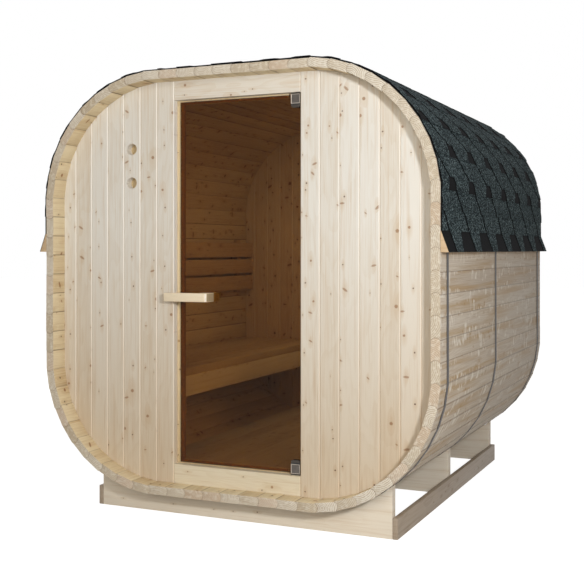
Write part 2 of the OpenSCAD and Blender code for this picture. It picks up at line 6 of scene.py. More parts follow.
import bpy
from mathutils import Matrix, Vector


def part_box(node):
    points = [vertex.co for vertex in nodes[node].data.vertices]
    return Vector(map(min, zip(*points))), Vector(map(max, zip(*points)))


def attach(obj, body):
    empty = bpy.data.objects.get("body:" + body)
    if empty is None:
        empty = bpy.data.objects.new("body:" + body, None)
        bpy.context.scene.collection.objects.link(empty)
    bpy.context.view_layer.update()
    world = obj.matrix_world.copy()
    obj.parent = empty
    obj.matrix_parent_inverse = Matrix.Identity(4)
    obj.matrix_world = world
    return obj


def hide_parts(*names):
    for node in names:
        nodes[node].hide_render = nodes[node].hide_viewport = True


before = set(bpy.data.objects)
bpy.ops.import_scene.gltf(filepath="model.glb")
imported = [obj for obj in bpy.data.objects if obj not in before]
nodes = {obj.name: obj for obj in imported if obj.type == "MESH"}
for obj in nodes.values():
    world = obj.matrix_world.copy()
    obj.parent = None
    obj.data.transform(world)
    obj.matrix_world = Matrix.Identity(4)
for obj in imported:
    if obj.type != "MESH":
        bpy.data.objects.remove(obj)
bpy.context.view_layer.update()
scene = bpy.context.scene
MM = 0.001

# ---- Sizes shared with the solids, in metres ----
STAVE_W = 97 * MM
STAVE_T = 42 * MM
BALL_R = STAVE_T / 2 + 4 * MM
COVE_PLAY = 0.3 * MM
FLAT_STAVES = 9
CORNER_STAVES = 9
SIDE_STAVES = FLAT_STAVES + CORNER_STAVES
SHELL_CLEAR = 115 * MM
SHELL_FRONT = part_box("staves_top")[0][1]
SHELL_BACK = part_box("staves_top")[1][1]
SHELL_LEN = SHELL_BACK - SHELL_FRONT
CROZE_DEPTH = 10 * MM
BOARD_W = 96 * MM
# Turn in degrees from one inclined stave to the next
BEND = 90 / (CORNER_STAVES + 1)
RING_HALF = FLAT_STAVES * STAVE_W / 2 + sum(
    STAVE_W * math.cos(math.radians(k * BEND)) for k in range(1, CORNER_STAVES + 1)
)
SHELL_Z = SHELL_CLEAR + RING_HALF + STAVE_T / 2
# Middle of each rounded corner, measured from the middle of the shell
CORNER_C = (FLAT_STAVES - 1) * STAVE_W / 2

# ---- Sizes of the finishes, in metres ----
# Boards of the seat and floor, and of the backrest
SEAT_W = 95 * MM
SLAT_W = 112 * MM
# For a piece of one board: so wide that no line between two boards falls on it
ONE_BOARD, WIDE_BOARD = 0.4, 0.9
# The V joints of the wall boards: how far the painted highlight at each board's right edge and the painted
# shade at its left edge reach from the joint, and how soft their ends are
VEE_RIGHT = 4.6 * MM
VEE_LEFT = 2.6 * MM
VEE_SOFT = 1 * MM
# Heights between which painted shade darkens the wall boards and turns them yellower towards the ground
LOW_SHADE_TOP, LOW_SHADE_BOTTOM = 1.45, 0.3
# How far growth rings wander along a board, how far a knot pushes them aside, and how ragged its edge is
RING_SWAY = 70 * MM
KNOT_PUSH = 6 * MM
KNOT_RAGGED = 4 * MM
# Rings on the staves' ends: how far apart they are drawn, in mm, and how far they wander
END_RING_MM = 8.0
END_WOBBLE = 6 * MM
# The dark joint lines: where they begin and end beside the ball's arc, and how far from its middle they start
JOINT_EDGE, JOINT_CORE = 1.8 * MM, 0.6 * MM
JOINT_START = 11 * MM
# Steps in which the round edge of a stave is drawn, and how much further its cutters reach than they need
BALL_STEPS = 6
OVERCUT = 50 * MM
# How much wider than its wall a groove is on each side
CROZE_PLAY = 0.5 * MM
# The most by which staves differ at their ends, and in how far they are sunk
END_PLAY = 2.5 * MM
SINK_PLAY = 1.3 * MM
# How much wider the slits between roof tabs are drawn, and how near the roof's ends none is looked for
SLIT_WIDER = 12 * MM
ROOF_END = 30 * MM
# Radius of the roof's rounded corners, near enough to sort the courses
ROOF_R = 0.64
# Strips that reach this far over both sides of the top lie on the ridge
RIDGE_HALF = 20 * MM
# Strips this long up the roof, or this wide on the ridge, are felt and not tabs
FELT_LENGTH, FELT_WIDTH = 0.45, 0.6
# The rubber seal of the door: thickness, clear edge, lap over the next bar, and reach round the stop
SEAL_T = 5.2 * MM
SEAL_GAP = 0.5 * MM
SEAL_LAP = 9 * MM
SEAL_WRAP = 17 * MM
# The hinge clamps: half of their thickness, and from the end on the glass to the rubber band and the plates
CLAMP_HALF = 11.3 * MM
BAND_START, BAND_STOP, PLATE_START = 12.5 * MM, 18.5 * MM, 19 * MM
# How deep bands and plates are let in, and how far the plates go past the pane
LET_IN = 0.4 * MM
PLATE_PAST = 3 * MM
# Their screws: height of the head, from the middle of the pane to its foot, and from one screw to the other
HEAD_H = 2.4 * MM
SCREW_FOOT = 12.4 * MM
SCREW_APART = 22 * MM
# What counts as the same place, and the largest face that is only the easing of an edge, in square metres
NEAR = 1e-4
SLIVER = 1e-4

# Knots: the field that holds at most one, and its largest radius, in mm. Side branches cut along their
# length are dashes, some times as long as wide, dead twigs are small dots, and live branches are round.
DASH_FIELD, DASH_R, DASH_LONG = 150.0, 5.2, 2.6
DOT_FIELD, DOT_R = 95.0, 3.4
ROUND_FIELD, ROUND_R = 260.0, 7.5
# The share of their fields that hold a round one
ROUND_SHARE = 0.8

X, Y, Z = 0, 1, 2
ROOF_NODES = ("shingles_right", "shingles_top", "shingles_left")


# ---- Nodes ----
def shade(code):
    """A linear colour from an sRGB hex value."""
    parts = [int(code[i : i + 2], 16) / 255 for i in (1, 3, 5)]
    return tuple(c / 12.92 if c <= 0.04045 else ((c + 0.055) / 1.055) ** 2.4 for c in parts) + (1.0,)


def add(tree, kind, sockets=None, **settings):
    """Adds a node with its settings, and sets or links its sockets.
    A node given for a socket links its first output."""
    made = tree.nodes.new("ShaderNode" + kind)
    for name, value in settings.items():
        setattr(made, name, value)
    for key, value in (sockets or {}).items():
        if isinstance(value, bpy.types.Node):
            value = value.outputs[0]
        if isinstance(value, bpy.types.NodeSocket):
            tree.links.new(value, made.inputs[key])
        else:
            made.inputs[key].default_value = value
    return made


def new_material(name):
    """An empty material and its tree."""
    material = bpy.data.materials.new(name)
    material.use_nodes = True
    material.node_tree.nodes.clear()
    return material, material.node_tree


def tinted(tree, colour, *coats):
    """Lays hex tones over a colour one after the other, each as strongly as its amount says."""
    for amount, tone in coats:
        colour = add(tree, "Mix", {0: amount, 6: colour, 7: shade(tone)}, data_type="RGBA").outputs[2]
    return colour


def streaked(tree, places, times, detail, roughness=0.5):
    """A cloudy pattern drawn out along a board; times is how often a metre it changes along each place."""
    spot = add(tree, "CombineXYZ", dict(enumerate(places)))
    spot = add(tree, "VectorMath", {0: spot, 1: times}, operation="MULTIPLY")
    return add(tree, "TexNoise", {"Vector": spot, "Scale": 1.0, "Detail": detail, "Roughness": roughness})


def growth_rings(tree, beside, depth, dice, pith, pushes, ring_mm, early, late, most=1.0):
    """How far each point is into the late wood of its ring, in rings about a pith beside the board.
    pith is how far off that may lie, across and deep; pushes are patterns that bend the rings."""
    spot = {}
    for k, (place, (low, high)) in enumerate(zip((beside, depth), pith)):
        off = add(tree, "MapRange", {"Value": dice.outputs[k], "To Min": low, "To Max": high})
        spot[k] = add(tree, "Math", {0: place, 1: off}, operation="ADD")
    radius = add(tree, "VectorMath", {0: add(tree, "CombineXYZ", spot)}, operation="LENGTH").outputs[1]
    for pattern, by in pushes:
        radius = add(tree, "Math", {0: pattern, 1: by, 2: radius}, operation="MULTIPLY_ADD")
    ring = add(tree, "Math", {0: radius, 1: ring_mm * MM}, operation="DIVIDE")
    ring = add(tree, "Math", {0: ring}, operation="FRACT")
    late_part = {"Value": ring, "From Min": early, "From Max": late, "To Max": most}
    return add(tree, "MapRange", late_part, interpolation_type="SMOOTHSTEP")


def surface(tree, colour, roughness, height, depth_mm, **sockets):
    """The shader and output of an opaque finish, with its relief."""
    inputs = {"Base Color": colour, "Roughness": roughness}
    inputs.update({name.replace("_", " "): value for name, value in sockets.items()})
    inputs["Normal"] = add(tree, "Bump", {"Height": height, "Distance": depth_mm * MM, "Strength": 1.0})
    add(tree, "OutputMaterial", {"Surface": add(tree, "BsdfPrincipled", inputs)})


# ---- Wood ----
def board_place(tree, across, along, depth, width):
    """Splits object space into boards of one width: number, place across, depth and along."""
    where = add(tree, "SeparateXYZ", {0: add(tree, "TexCoord").outputs["Object"]})
    run = where.outputs[across]
    number = add(tree, "Math", {0: run, 1: width}, operation="DIVIDE")
    number = add(tree, "Math", {0: number}, operation="ROUND")
    middle = add(tree, "Math", {0: number, 1: width}, operation="MULTIPLY")
    beside = add(tree, "Math", {0: run, 1: middle}, operation="SUBTRACT")
    return number.outputs[0], beside.outputs[0], where.outputs[depth], where.outputs[along]


def stave_place(tree):
    """The same for the staves, from what each one carries: its number and its own sides."""
    number = add(tree, "Attribute", attribute_name="stave_number").outputs["Fac"]
    place = add(tree, "Attribute", attribute_name="stave_place").outputs["Vector"]
    place = add(tree, "SeparateXYZ", {0: place})
    return number, place.outputs[0], place.outputs[1], place.outputs[2]


def knots(tree, across, along, field_mm, share, radius_mm, long):
    """Knots of a board, at most one in each field, long times as long as wide and turned at random.
    Gives how much knot there is, and how much swirled grain round it."""
    flat = add(tree, "CombineXYZ", {0: across, 1: along})
    spread = {"Vector": flat, "Scale": 1000 / field_mm, "Randomness": 0.95}
    field = add(tree, "TexVoronoi", spread, voronoi_dimensions="2D")
    away = add(tree, "VectorMath", {0: flat, 1: field.outputs["Position"]}, operation="SUBTRACT")
    chance = add(tree, "SeparateXYZ", {0: field.outputs["Color"]})
    real = add(tree, "Math", {0: chance.outputs[0], 1: 1.0 - share}, operation="GREATER_THAN")
    size = {"Value": chance.outputs[0], "From Min": 1.0 - share, "To Min": 0.4}
    size = add(tree, "MapRange", size)
    reach = add(tree, "Math", {0: size, 1: radius_mm * MM}, operation="MULTIPLY")
    # An oval with a ragged edge, turned up to 0.8 of a radian
    turn = add(tree, "MapRange", {"Value": chance.outputs[1], "To Min": -0.8, "To Max": 0.8})
    turned = add(tree, "VectorRotate", {"Vector": away, "Angle": turn}, rotation_type="Z_AXIS")
    oval = add(tree, "VectorMath", {0: turned, 1: (1.0 / long, 1.0, 0.0)}, operation="MULTIPLY")
    near = add(tree, "VectorMath", {0: oval}, operation="LENGTH").outputs[1]
    ragged = add(tree, "TexNoise", {"Vector": flat, "Scale": 220.0, "Detail": 2.0})
    ragged = add(tree, "Math", {0: ragged, 1: 0.5}, operation="SUBTRACT")
    near = add(tree, "Math", {0: ragged, 1: KNOT_RAGGED, 2: near}, operation="MULTIPLY_ADD")
    # The grain flows round it in a long lens
    lens = add(tree, "VectorMath", {0: away, 1: (0.9, 0.3, 0.0)}, operation="MULTIPLY")
    wide = add(tree, "VectorMath", {0: lens}, operation="LENGTH").outputs[1]
    edge, heart, calm = (add(tree, "Math", {0: reach, 1: k}, operation="MULTIPLY") for k in (1.2, 0.7, 3.0))
    core = add(tree, "MapRange", {"Value": near, "From Min": edge, "From Max": heart})
    swirl = add(tree, "MapRange", {"Value": wide, "From Min": calm, "From Max": reach})
    return [add(tree, "Math", {0: part, 1: real}, operation="MULTIPLY").outputs[0] for part in (core, swirl)]


def spruce(
    tree, place, tones, ring_mm=5.0, seed=0.0, contrast=0.22,
    streak=0.45, spike=0.45, pin=0.3, knot_tone=0.9, bigger=1.0,
):
    """Colour and height of spruce boards: growth rings cut along their length, streaks, and knots that the
    grain flows round. tones are the pale wood, the late wood, the streaks, the dead knots and the live ones;
    spike and pin are the shares of dashes and dots among the knots."""
    number, beside, depth, along = place
    mark = add(tree, "Math", {0: number, 1: seed}, operation="ADD")
    dice = add(tree, "TexWhiteNoise", {"W": mark}, noise_dimensions="1D").outputs["Color"]
    dice = add(tree, "SeparateXYZ", {0: dice})
    shift = add(tree, "Math", {0: mark, 1: 3.71}, operation="MULTIPLY")
    run = add(tree, "Math", {0: along, 1: shift}, operation="ADD")
    side = add(tree, "Math", {0: beside, 1: mark}, operation="ADD")
    # Each kind of knot has its own fields, shifted so that two kinds seldom meet
    cores = []
    swirl = 0.0
    for further, field_mm, share, radius_mm, long in (
        (0.0, DASH_FIELD, spike, DASH_R, DASH_LONG),
        (0.37, DOT_FIELD, pin, DOT_R, 1.0),
        (0.71, ROUND_FIELD, ROUND_SHARE, ROUND_R, 1.0),
    ):
        here = add(tree, "Math", {0: run, 1: further}, operation="ADD")
        core, ripple = knots(tree, side, here, field_mm, share, radius_mm * bigger, long)
        cores.append(core)
        swirl = add(tree, "Math", {0: ripple, 1: swirl}, operation="MAXIMUM")
    dash, dot, round_knot = cores
    sway = streaked(tree, (side, run), (6.0, 1.1, 0.0), 3.0, 0.45)
    pith = ((-0.07, 0.07), (0.03, 0.11))
    pushes = ((sway, RING_SWAY), (swirl, -KNOT_PUSH))
    late = growth_rings(tree, beside, depth, dice, pith, pushes, ring_mm, 0.35, 0.92)
    # Fibres and streaks run along the board
    fibre = streaked(tree, (side, run), (190.0, 3.0, 0.0), 3.0, 0.6)
    broad = streaked(tree, (side, run), (60.0, 1.5, 0.0), 4.0, 0.6)
    broad = add(tree, "MapRange", {"Value": broad, "From Min": 0.52, "From Max": 0.75, "To Max": streak})
    narrow = {"Value": fibre, "From Min": 0.6, "From Max": 0.78, "To Max": 1.4 * streak}
    narrow = add(tree, "MapRange", narrow)
    # How far each point goes from the pale wood to the late wood
    tone = add(tree, "Math", {0: late, 1: contrast}, operation="MULTIPLY")
    for part, middle, much in ((fibre, 0.5, 1.1), (dice.outputs[2], 0.3, 0.7)):
        part = add(tree, "Math", {0: part, 1: middle}, operation="SUBTRACT")
        tone = add(tree, "Math", {0: part, 1: much, 2: tone}, operation="MULTIPLY_ADD")
    tone.use_clamp = True
    pale, deep, stain, bark, branch = tones
    coats = [(tone, deep), (broad, stain), (narrow, stain)]
    for part, much, above in (
        (swirl, 0.32, stain),
        (dash, 0.75 * knot_tone, branch),
        (round_knot, 0.85 * knot_tone, branch),
        (dot, knot_tone, bark),
    ):
        coats.append((add(tree, "Math", {0: part, 1: much}, operation="MULTIPLY"), above))
    colour = tinted(tree, shade(pale), *coats)
    height = add(tree, "Math", {0: late, 1: 0.5, 2: fibre}, operation="MULTIPLY_ADD")
    return colour, height.outputs[0]


def boards_material(name, across, along, depth, width, tones, painted_joint_light=False, **options):
    """Planed boards lying side by side; where joints are asked for, each V joint's chamfers carry a painted
    highlight and a painted shade, and the boards get painted shade towards the ground.
    """
    material, tree = new_material(name)
    place = board_place(tree, across, along, depth, width)
    colour, height = spruce(tree, place, tones, **options)
    if painted_joint_light:
        # Painted highlight on the chamfer at each board's right edge, which faces the lamp, and painted shade
        # on the chamfer at its left edge
        right, left = width / 2 - VEE_RIGHT, VEE_LEFT - width / 2
        lit = {"Value": place[1], "From Min": right, "From Max": right + VEE_SOFT, "To Max": 0.75}
        dim = {"Value": place[1], "From Min": left, "From Max": left - VEE_SOFT, "To Max": 0.6}
        lit, dim = (add(tree, "MapRange", side) for side in (lit, dim))
        colour = tinted(tree, colour, (lit, "#FCF9F3"), (dim, "#C9A67C"))
        # Painted shade: the boards turn darker and yellower towards the ground
        foot = add(tree, "MapRange", {"Value": place[3], "From Min": LOW_SHADE_TOP, "From Max": LOW_SHADE_BOTTOM})
        shaded_low = {0: foot, 6: colour, 7: shade("#E9DCCA")}
        colour = add(tree, "Mix", shaded_low, data_type="RGBA", blend_type="MULTIPLY").outputs[2]
    surface(tree, colour, 0.55, height, 0.12)
    return material


def sawn_face(tree, place):
    """Colour and height of the staves' outer faces: rough sawn, greyed, with resin bands and planer marks."""
    number, beside, _, along = place
    tones = ("#DACFC0", "#AF9B86", "#B08F64", "#5E3E24", "#9C7748")
    colour, height = spruce(tree, place, tones, ring_mm=7.0, seed=3.0, streak=0.5)
    run = add(tree, "Math", {0: number, 1: 5.3, 2: along}, operation="MULTIPLY_ADD")
    # Yellow resin and damp bands along some staves
    band = streaked(tree, (run, beside, number), (0.8, 18.0, 1.0), 4.0, 0.55)
    band = add(tree, "MapRange", {"Value": band, "From Min": 0.5, "From Max": 0.65, "To Max": 0.62})
    # Chatter marks of the planer cross the stave every few centimetres, pale where it tore the fibres
    chatter = streaked(tree, (run, beside, number), (15.0, 5.0, 1.0), 2.0)
    ridge = add(tree, "Math", {0: chatter, 1: 0.5}, operation="SUBTRACT")
    ridge = add(tree, "Math", {0: ridge}, operation="ABSOLUTE")
    ridge = add(tree, "MapRange", {"Value": ridge, "From Min": 0.04, "From Max": 0.01})
    torn = streaked(tree, (run, beside, number), (5.0, 14.0, 1.0), 3.0)
    edge = add(tree, "Math", {0: beside}, operation="ABSOLUTE")
    torn = add(tree, "Math", {0: edge, 1: 2.6, 2: torn}, operation="MULTIPLY_ADD")
    torn = add(tree, "MapRange", {"Value": torn, "From Min": 0.57, "From Max": 0.64})
    marks = add(tree, "Math", {0: ridge, 1: torn}, operation="MULTIPLY")
    pale = add(tree, "Math", {0: marks, 1: 0.85}, operation="MULTIPLY")
    colour = tinted(tree, colour, (band, "#AE8A56"), (pale, "#ECE4D8"))
    saw = add(tree, "Math", {0: marks, 1: 0.6, 2: chatter}, operation="MULTIPLY_ADD")
    return colour, add(tree, "Math", {0: saw, 1: 4.0, 2: height}, operation="MULTIPLY_ADD")


def end_grain(tree, number, beside, depth):
    """Colour of the staves' ends: rings about a pith beside the stave, drawn 8 mm apart so that they show;
    real ones are 2 to 4 mm."""
    luck = add(tree, "TexWhiteNoise", {"W": number}, noise_dimensions="1D").outputs["Color"]
    luck = add(tree, "SeparateXYZ", {0: luck})
    wobble = add(tree, "TexNoise", {"Scale": 30.0, "Detail": 2.0})
    pith = ((-0.06, 0.06), (-0.12, 0.03))
    pushes = ((wobble, END_WOBBLE),)
    ring = growth_rings(tree, beside, depth, luck, pith, pushes, END_RING_MM, 0.4, 0.95, 0.85)
    # Some ends show pink heartwood
    heart = add(tree, "Math", {0: luck.outputs[0], 1: 0.7}, operation="GREATER_THAN")
    heart = add(tree, "Math", {0: heart, 1: 0.55}, operation="MULTIPLY")
    # The crosscut saw left fuzzy fibres, pale in patches of a centimetre or two
    where = add(tree, "TexCoord").outputs["Object"]
    fuzz = add(tree, "TexNoise", {"Vector": where, "Scale": 70.0, "Detail": 3.0, "Roughness": 0.5})
    fuzz = add(tree, "MapRange", {"Value": fuzz, "From Min": 0.5, "From Max": 0.62, "To Max": 0.35})
    coats = ((luck.outputs[2], "#C8BAA3"), (heart, "#D9C0AA"), (ring, "#B39A7A"), (fuzz, "#F4EEE2"))
    return tinted(tree, shade("#EAE3D6"), *coats)


def joint_line(tree, beside, depth):
    """The dark line where the ball of one stave sits in the cove of the next."""
    line = 0.0
    for side in (-0.5, 0.5):
        across = add(tree, "Math", {0: beside, 1: side * STAVE_W}, operation="SUBTRACT")
        reach = add(tree, "CombineXYZ", {0: across, 1: depth})
        reach = add(tree, "VectorMath", {0: reach}, operation="LENGTH").outputs[1]
        off = add(tree, "Math", {0: reach, 1: BALL_R}, operation="SUBTRACT")
        off = add(tree, "Math", {0: off}, operation="ABSOLUTE")
        mark = add(tree, "MapRange", {"Value": off, "From Min": JOINT_EDGE, "From Max": JOINT_CORE})
        ball = add(tree, "Math", {0: across, 1: JOINT_START}, operation="GREATER_THAN")
        mark = add(tree, "Math", {0: mark, 1: ball}, operation="MULTIPLY")
        line = add(tree, "Math", {0: mark, 1: line}, operation="MAXIMUM")
    return line


def stave_material():
    """Spruce staves: rough sawn and greyed outside, planed and yellower inside, end grain at the ends."""
    material, tree = new_material("spruce_stave")
    place = stave_place(tree)
    number, beside, depth, _ = place
    outside, rough_height = sawn_face(tree, place)
    tones = ("#EAD9B6", "#CFB58A", "#BE9A68", "#2A1206", "#8E5C30")
    inside, fine_height = spruce(tree, place, tones, seed=3.0, pin=0.6, spike=0.6, bigger=1.5, knot_tone=1.0)
    out = add(tree, "Math", {0: depth, 1: 0.0}, operation="LESS_THAN")
    normal = add(tree, "SeparateXYZ", {0: add(tree, "TexCoord").outputs["Normal"]})
    end = add(tree, "Math", {0: normal.outputs[1]}, operation="ABSOLUTE")
    end = add(tree, "Math", {0: end, 1: 0.6}, operation="GREATER_THAN")
    ends = end_grain(tree, number, beside, depth)
    colour = add(tree, "Mix", {0: out, 6: inside, 7: outside}, data_type="RGBA").outputs[2]
    colour = add(tree, "Mix", {0: end, 6: colour, 7: ends}, data_type="RGBA").outputs[2]
    # Weathered outer faces show their joints less, and the ends least
    strong = add(tree, "Math", {0: out, 1: end}, operation="SUBTRACT")
    strong = add(tree, "MapRange", {"Value": strong, "To Min": 0.7, "To Max": 0.5})
    strong = add(tree, "Math", {0: end, 1: -0.3, 2: strong}, operation="MULTIPLY_ADD")
    line = add(tree, "Math", {0: joint_line(tree, beside, depth), 1: strong}, operation="MULTIPLY")
    colour = tinted(tree, colour, (line, "#6E5034"))
    height = add(tree, "Mix", {0: out, 2: fine_height, 3: rough_height}, data_type="FLOAT").outputs[0]
    surface(tree, colour, 0.65, height, 0.2)
    return material


def plain(name, colour, roughness, metallic=0.0, grain_mm=0.0):
    """A finish of one tone that varies a little, with fine grain."""
    material, tree = new_material(name)
    where = add(tree, "TexCoord").outputs["Object"]
    cloud = add(tree, "TexNoise", {"Vector": where, "Scale": 60.0, "Detail": 4.0})
    spread = {"Value": cloud, "From Min": 0.3, "From Max": 0.7, "To Min": 0.85, "To Max": 1.15}
    tone = add(tree, "MapRange", spread)
    tint = add(tree, "VectorMath", {0: shade(colour)[:3], "Scale": tone}, operation="SCALE")
    surface(tree, tint, roughness, cloud.outputs[0], grain_mm, Metallic=metallic)
    return material


def glass_material():
    """Bronze toughened glass: clear but brown, with sharp reflections.
    Lamps reach the room through it, so that the bench shows."""
    material, tree = new_material("bronze_toughened_glass")
    body = {"Base Color": shade("#9C835F"), "Roughness": 0.0, "IOR": 1.18, "Transmission Weight": 1.0}
    pane = add(tree, "BsdfPrincipled", body)
    # A lamp's ray crosses both faces, so each takes half of the tint
    clear = add(tree, "BsdfTransparent", {"Color": shade("#CEBEA9")})
    lamp = add(tree, "LightPath").outputs["Is Shadow Ray"]
    add(tree, "OutputMaterial", {"Surface": add(tree, "MixShader", {0: lamp, 1: pane, 2: clear})})
    return material


def granule_material(name, tones):
    """Mineral granules on bitumen, drawn 5 mm across so that they show; real ones are 1 mm."""
    material, tree = new_material(name)
    where = add(tree, "TexCoord").outputs["Object"]
    grit = add(tree, "TexVoronoi", {"Vector": where, "Scale": 210.0}, voronoi_dimensions="3D")
    pick = add(tree, "SeparateXYZ", {0: grit.outputs["Color"]}).outputs[0]
    dark, middle, light = tones
    grey = add(tree, "MapRange", {"Value": pick, "From Min": 0.1, "From Max": 0.5})
    pale = add(tree, "MapRange", {"Value": pick, "From Min": 0.72, "From Max": 0.95})
    colour = tinted(tree, shade(dark), (grey, middle), (pale, light))
    surface(tree, colour, 0.95, pick, 0.8, Specular_IOR_Level=0.1)
    return material


# ---- Finishes: wood outdoors ----
FRONT_KNOTS = ("#56331B", "#9A6E46")
FRONT_TONES = ("#EDE9E2", "#DACDBA", "#CDB18C", *FRONT_KNOTS)

staves = stave_material()
# Planed spruce kept dry under the rim: pale and matt, with soft grain and few small knots, painted highlights
# and shade at its joints, and painted shade towards the ground
planed = boards_material(
    "planed_spruce_boards", X, Z, Y, BOARD_W, FRONT_TONES,
    painted_joint_light=True, streak=0.4, contrast=0.18, bigger=1.2,
)
# The same from knottier boards: a pinker ground with many dark knots, and the same painted highlights and
# painted shade
rear_boards = boards_material(
    "planed_spruce_rear_boards", X, Z, Y, BOARD_W, ("#F2E8DF", "#E0CEBC", "#C4A488", "#2E1608", "#8A5A38"),
    painted_joint_light=True, seed=2.0, spike=0.6, pin=0.6, bigger=1.6, knot_tone=1.0,
)
# Planed strips of fresh heart spruce: cream-coloured, with even grain along them
stop_wood = boards_material(
    "planed_spruce_stop", X, Z, Y, WIDE_BOARD,
    ("#F2E2BE", "#DFC79C", "#CFB080", "#6B4226", "#B98D60"), seed=71.0,
)
# The front wall's spruce with its grain lying across the doorway
crosscut = boards_material("planed_spruce_cross_board", Z, X, Y, ONE_BOARD, FRONT_TONES, seed=5.0)
# The same under feet: yellower, and darker where the grain took up dirt
sill_wood = boards_material(
    "trodden_spruce_sill", Z, X, Y, ONE_BOARD, ("#E6DAC2", "#D2BF9C", "#C4A67A", *FRONT_KNOTS), seed=6.0
)
# Rough sawn pine in the rain: grey-brown, with wide rings
base_rail = boards_material(
    "sawn_pine_rail", Z, Y, X, ONE_BOARD,
    ("#B2A290", "#93816E", "#8A7258", "#55391F", "#7D6044"), ring_mm=8.0, seed=31.0,
)
# The same sheltered by the floor: still pale and warm, and drawn paler still, a painted light against the rim's
# shadow on the cradles
cradle_pine_painted_light = boards_material(
    "cradle_sawn_pine_painted_light", Z, X, Y, WIDE_BOARD,
    ("#F2E7D6", "#D8C5A8", "#CBAF8A", "#6A4427", "#A88358"), ring_mm=9.0, seed=33.0,
)
# Planed pine: amber, as its resin darkens in the sun
eave_board = boards_material(
    "planed_pine_eave", Z, Y, X, WIDE_BOARD,
    ("#D2B692", "#BE9A70", "#B08A60", "#6A4427", "#A07848"), seed=41.0,
)

# ---- Finishes: wood indoors ----
ROOM_KNOTS = ("#32190A", "#8A5C32")

# Planed spruce that years of heat have turned honey-brown
inside_x = boards_material(
    "planed_spruce_bench_seat", X, Y, Z, SEAT_W, ("#DECCA6", "#C0A67C", "#AE8E60", *ROOM_KNOTS), seed=9.0
)
# A clear board that light from the door falls on: drawn nearly white, a painted light
bench_front_painted_light = boards_material(
    "bench_front_spruce_painted_light", Z, Y, X, WIDE_BOARD,
    ("#F6EED8", "#E6D8B6", "#D2BA90", *ROOM_KNOTS), seed=61.0,
)
# Spruce scrubbed and walked on: greyer and duller than the bench
floor_wood = boards_material(
    "trodden_spruce_floor", X, Y, Z, SEAT_W,
    ("#D8CCB4", "#BCA98C", "#AC916C", "#32190A", "#7C5636"), seed=12.0,
)
# Slats leant on in the heat: the deepest honey-brown
inside_z = boards_material(
    "planed_spruce_inside_backrest", Z, Y, X, SLAT_W,
    ("#D9BE94", "#BE9A6A", "#B08555", *ROOM_KNOTS), seed=21.0,
)
# Aspen, sanded: creamy and silky, with fine grain and hardly a knot
handle_wood = boards_material(
    "sanded_aspen_handle", Z, X, Y, ONE_BOARD, ("#F6E6CB", "#E8D2AE", "#DDC093", "#9A7040", "#B98D5A"),
    ring_mm=4.0, seed=51.0, spike=0.0, pin=0.05,
)
# Its chamfers that face right, towards the lamp: the palest, a painted highlight
handle_chamfer_highlight = plain("aspen_chamfer_painted_highlight", "#FFF6E8", 0.5)
# Its ends: darker, because open pores take in light, with clear rings
handle_end = boards_material(
    "aspen_end_grain", Y, Z, X, ONE_BOARD, ("#D8C6A6", "#B49A74", "#A58A64", "#9A7040", "#B98D5A"),
    ring_mm=4.0, contrast=0.6, spike=0.0, pin=0.0,
)

# ---- Finishes: metal, glass and rubber ----
# Steel painted dark grey: a dull sheen over a slightly uneven coat
steel = plain("painted_strap_steel", "#4C4847", 0.55, 0.25, 0.05)
# Chrome plate: nearly a mirror
chrome = plain("polished_chrome", "#D5D7DA", 0.12, 1.0)
glass = glass_material()
# The pane's edges: ground, so they look dark and hardly let light out
glass_edge = plain("ground_glass_edge", "#3A2A1C", 0.25)
# Moulded rubber: soft brown with a wide, weak shine
seal_rubber = plain("brown_seal_rubber", "#A97D52", 0.6)
# Moulded rubber, black: a thin dark line between metals
black_rubber = plain("black_clamp_rubber", "#141210", 0.5)
# Chrome of the clamp bodies, coloured deep brown-grey as a painted dark reflection, with soft highlights
chrome_body_dark_reflection = plain("chrome_body_painted_dark_reflection", "#4A4540", 0.3, 1.0)
# Chrome rubbed to a satin: blurred reflections; its tone, darker than its rim, is a painted dark reflection
satin_field_dark_reflection = plain("chrome_satin_painted_dark_reflection", "#5F5954", 0.35, 1.0)
# The brushed rim round it: a bright line, a painted highlight where the edge would catch the light
chrome_rim_highlight = plain("chrome_rim_painted_highlight", "#B7AEA2", 0.4, 1.0)

# ---- Finishes: roofing ----
# Slate granules, sprinkled: a dull grey-green of dark and light specks
granules = granule_material("mineral_granules_grey_green", ("#0C1012", "#2D393D", "#8A9DA1"))
# Sanded felt and cut bitumen: black, with hardly any glint
black_granules = granule_material("mineral_granules_black", ("#060607", "#0B0B0D", "#16161A"))


# ---- Modelling ----
def only(*objects):
    """Selects just these objects, the first one active."""
    bpy.ops.object.select_all(action="DESELECT")
    for thing in objects:
        thing.select_set(True)
    bpy.context.view_layer.objects.active = objects[0]


def leave_edit():
    """Back to object mode, where edits are kept."""
    bpy.ops.object.mode_set(mode="OBJECT")


def edit(thing, faces=None, edges=None):
    """Opens a piece in edit mode with all of it selected, or only the faces or edges that a test picks."""
    only(thing)
    bpy.ops.object.mode_set(mode="EDIT")
    bpy.ops.mesh.select_mode(type="EDGE" if edges else "FACE")
    bpy.ops.mesh.select_all(action="DESELECT" if faces or edges else "SELECT")
    if faces or edges:
        leave_edit()
        for part in thing.data.polygons if faces else thing.data.edges:
            ends = [thing.data.vertices[v].co for v in part.vertices]
            part.select = faces(part) if faces else edges(*ends)
        bpy.ops.object.mode_set(mode="EDIT")


def modify(thing, kind, **settings):
    """Adds a modifier and applies it."""
    only(thing)
    modifier = thing.modifiers.new(kind.lower(), kind)
    for name, value in settings.items():
        setattr(modifier, name, value)
    bpy.ops.object.modifier_apply(modifier=modifier.name)


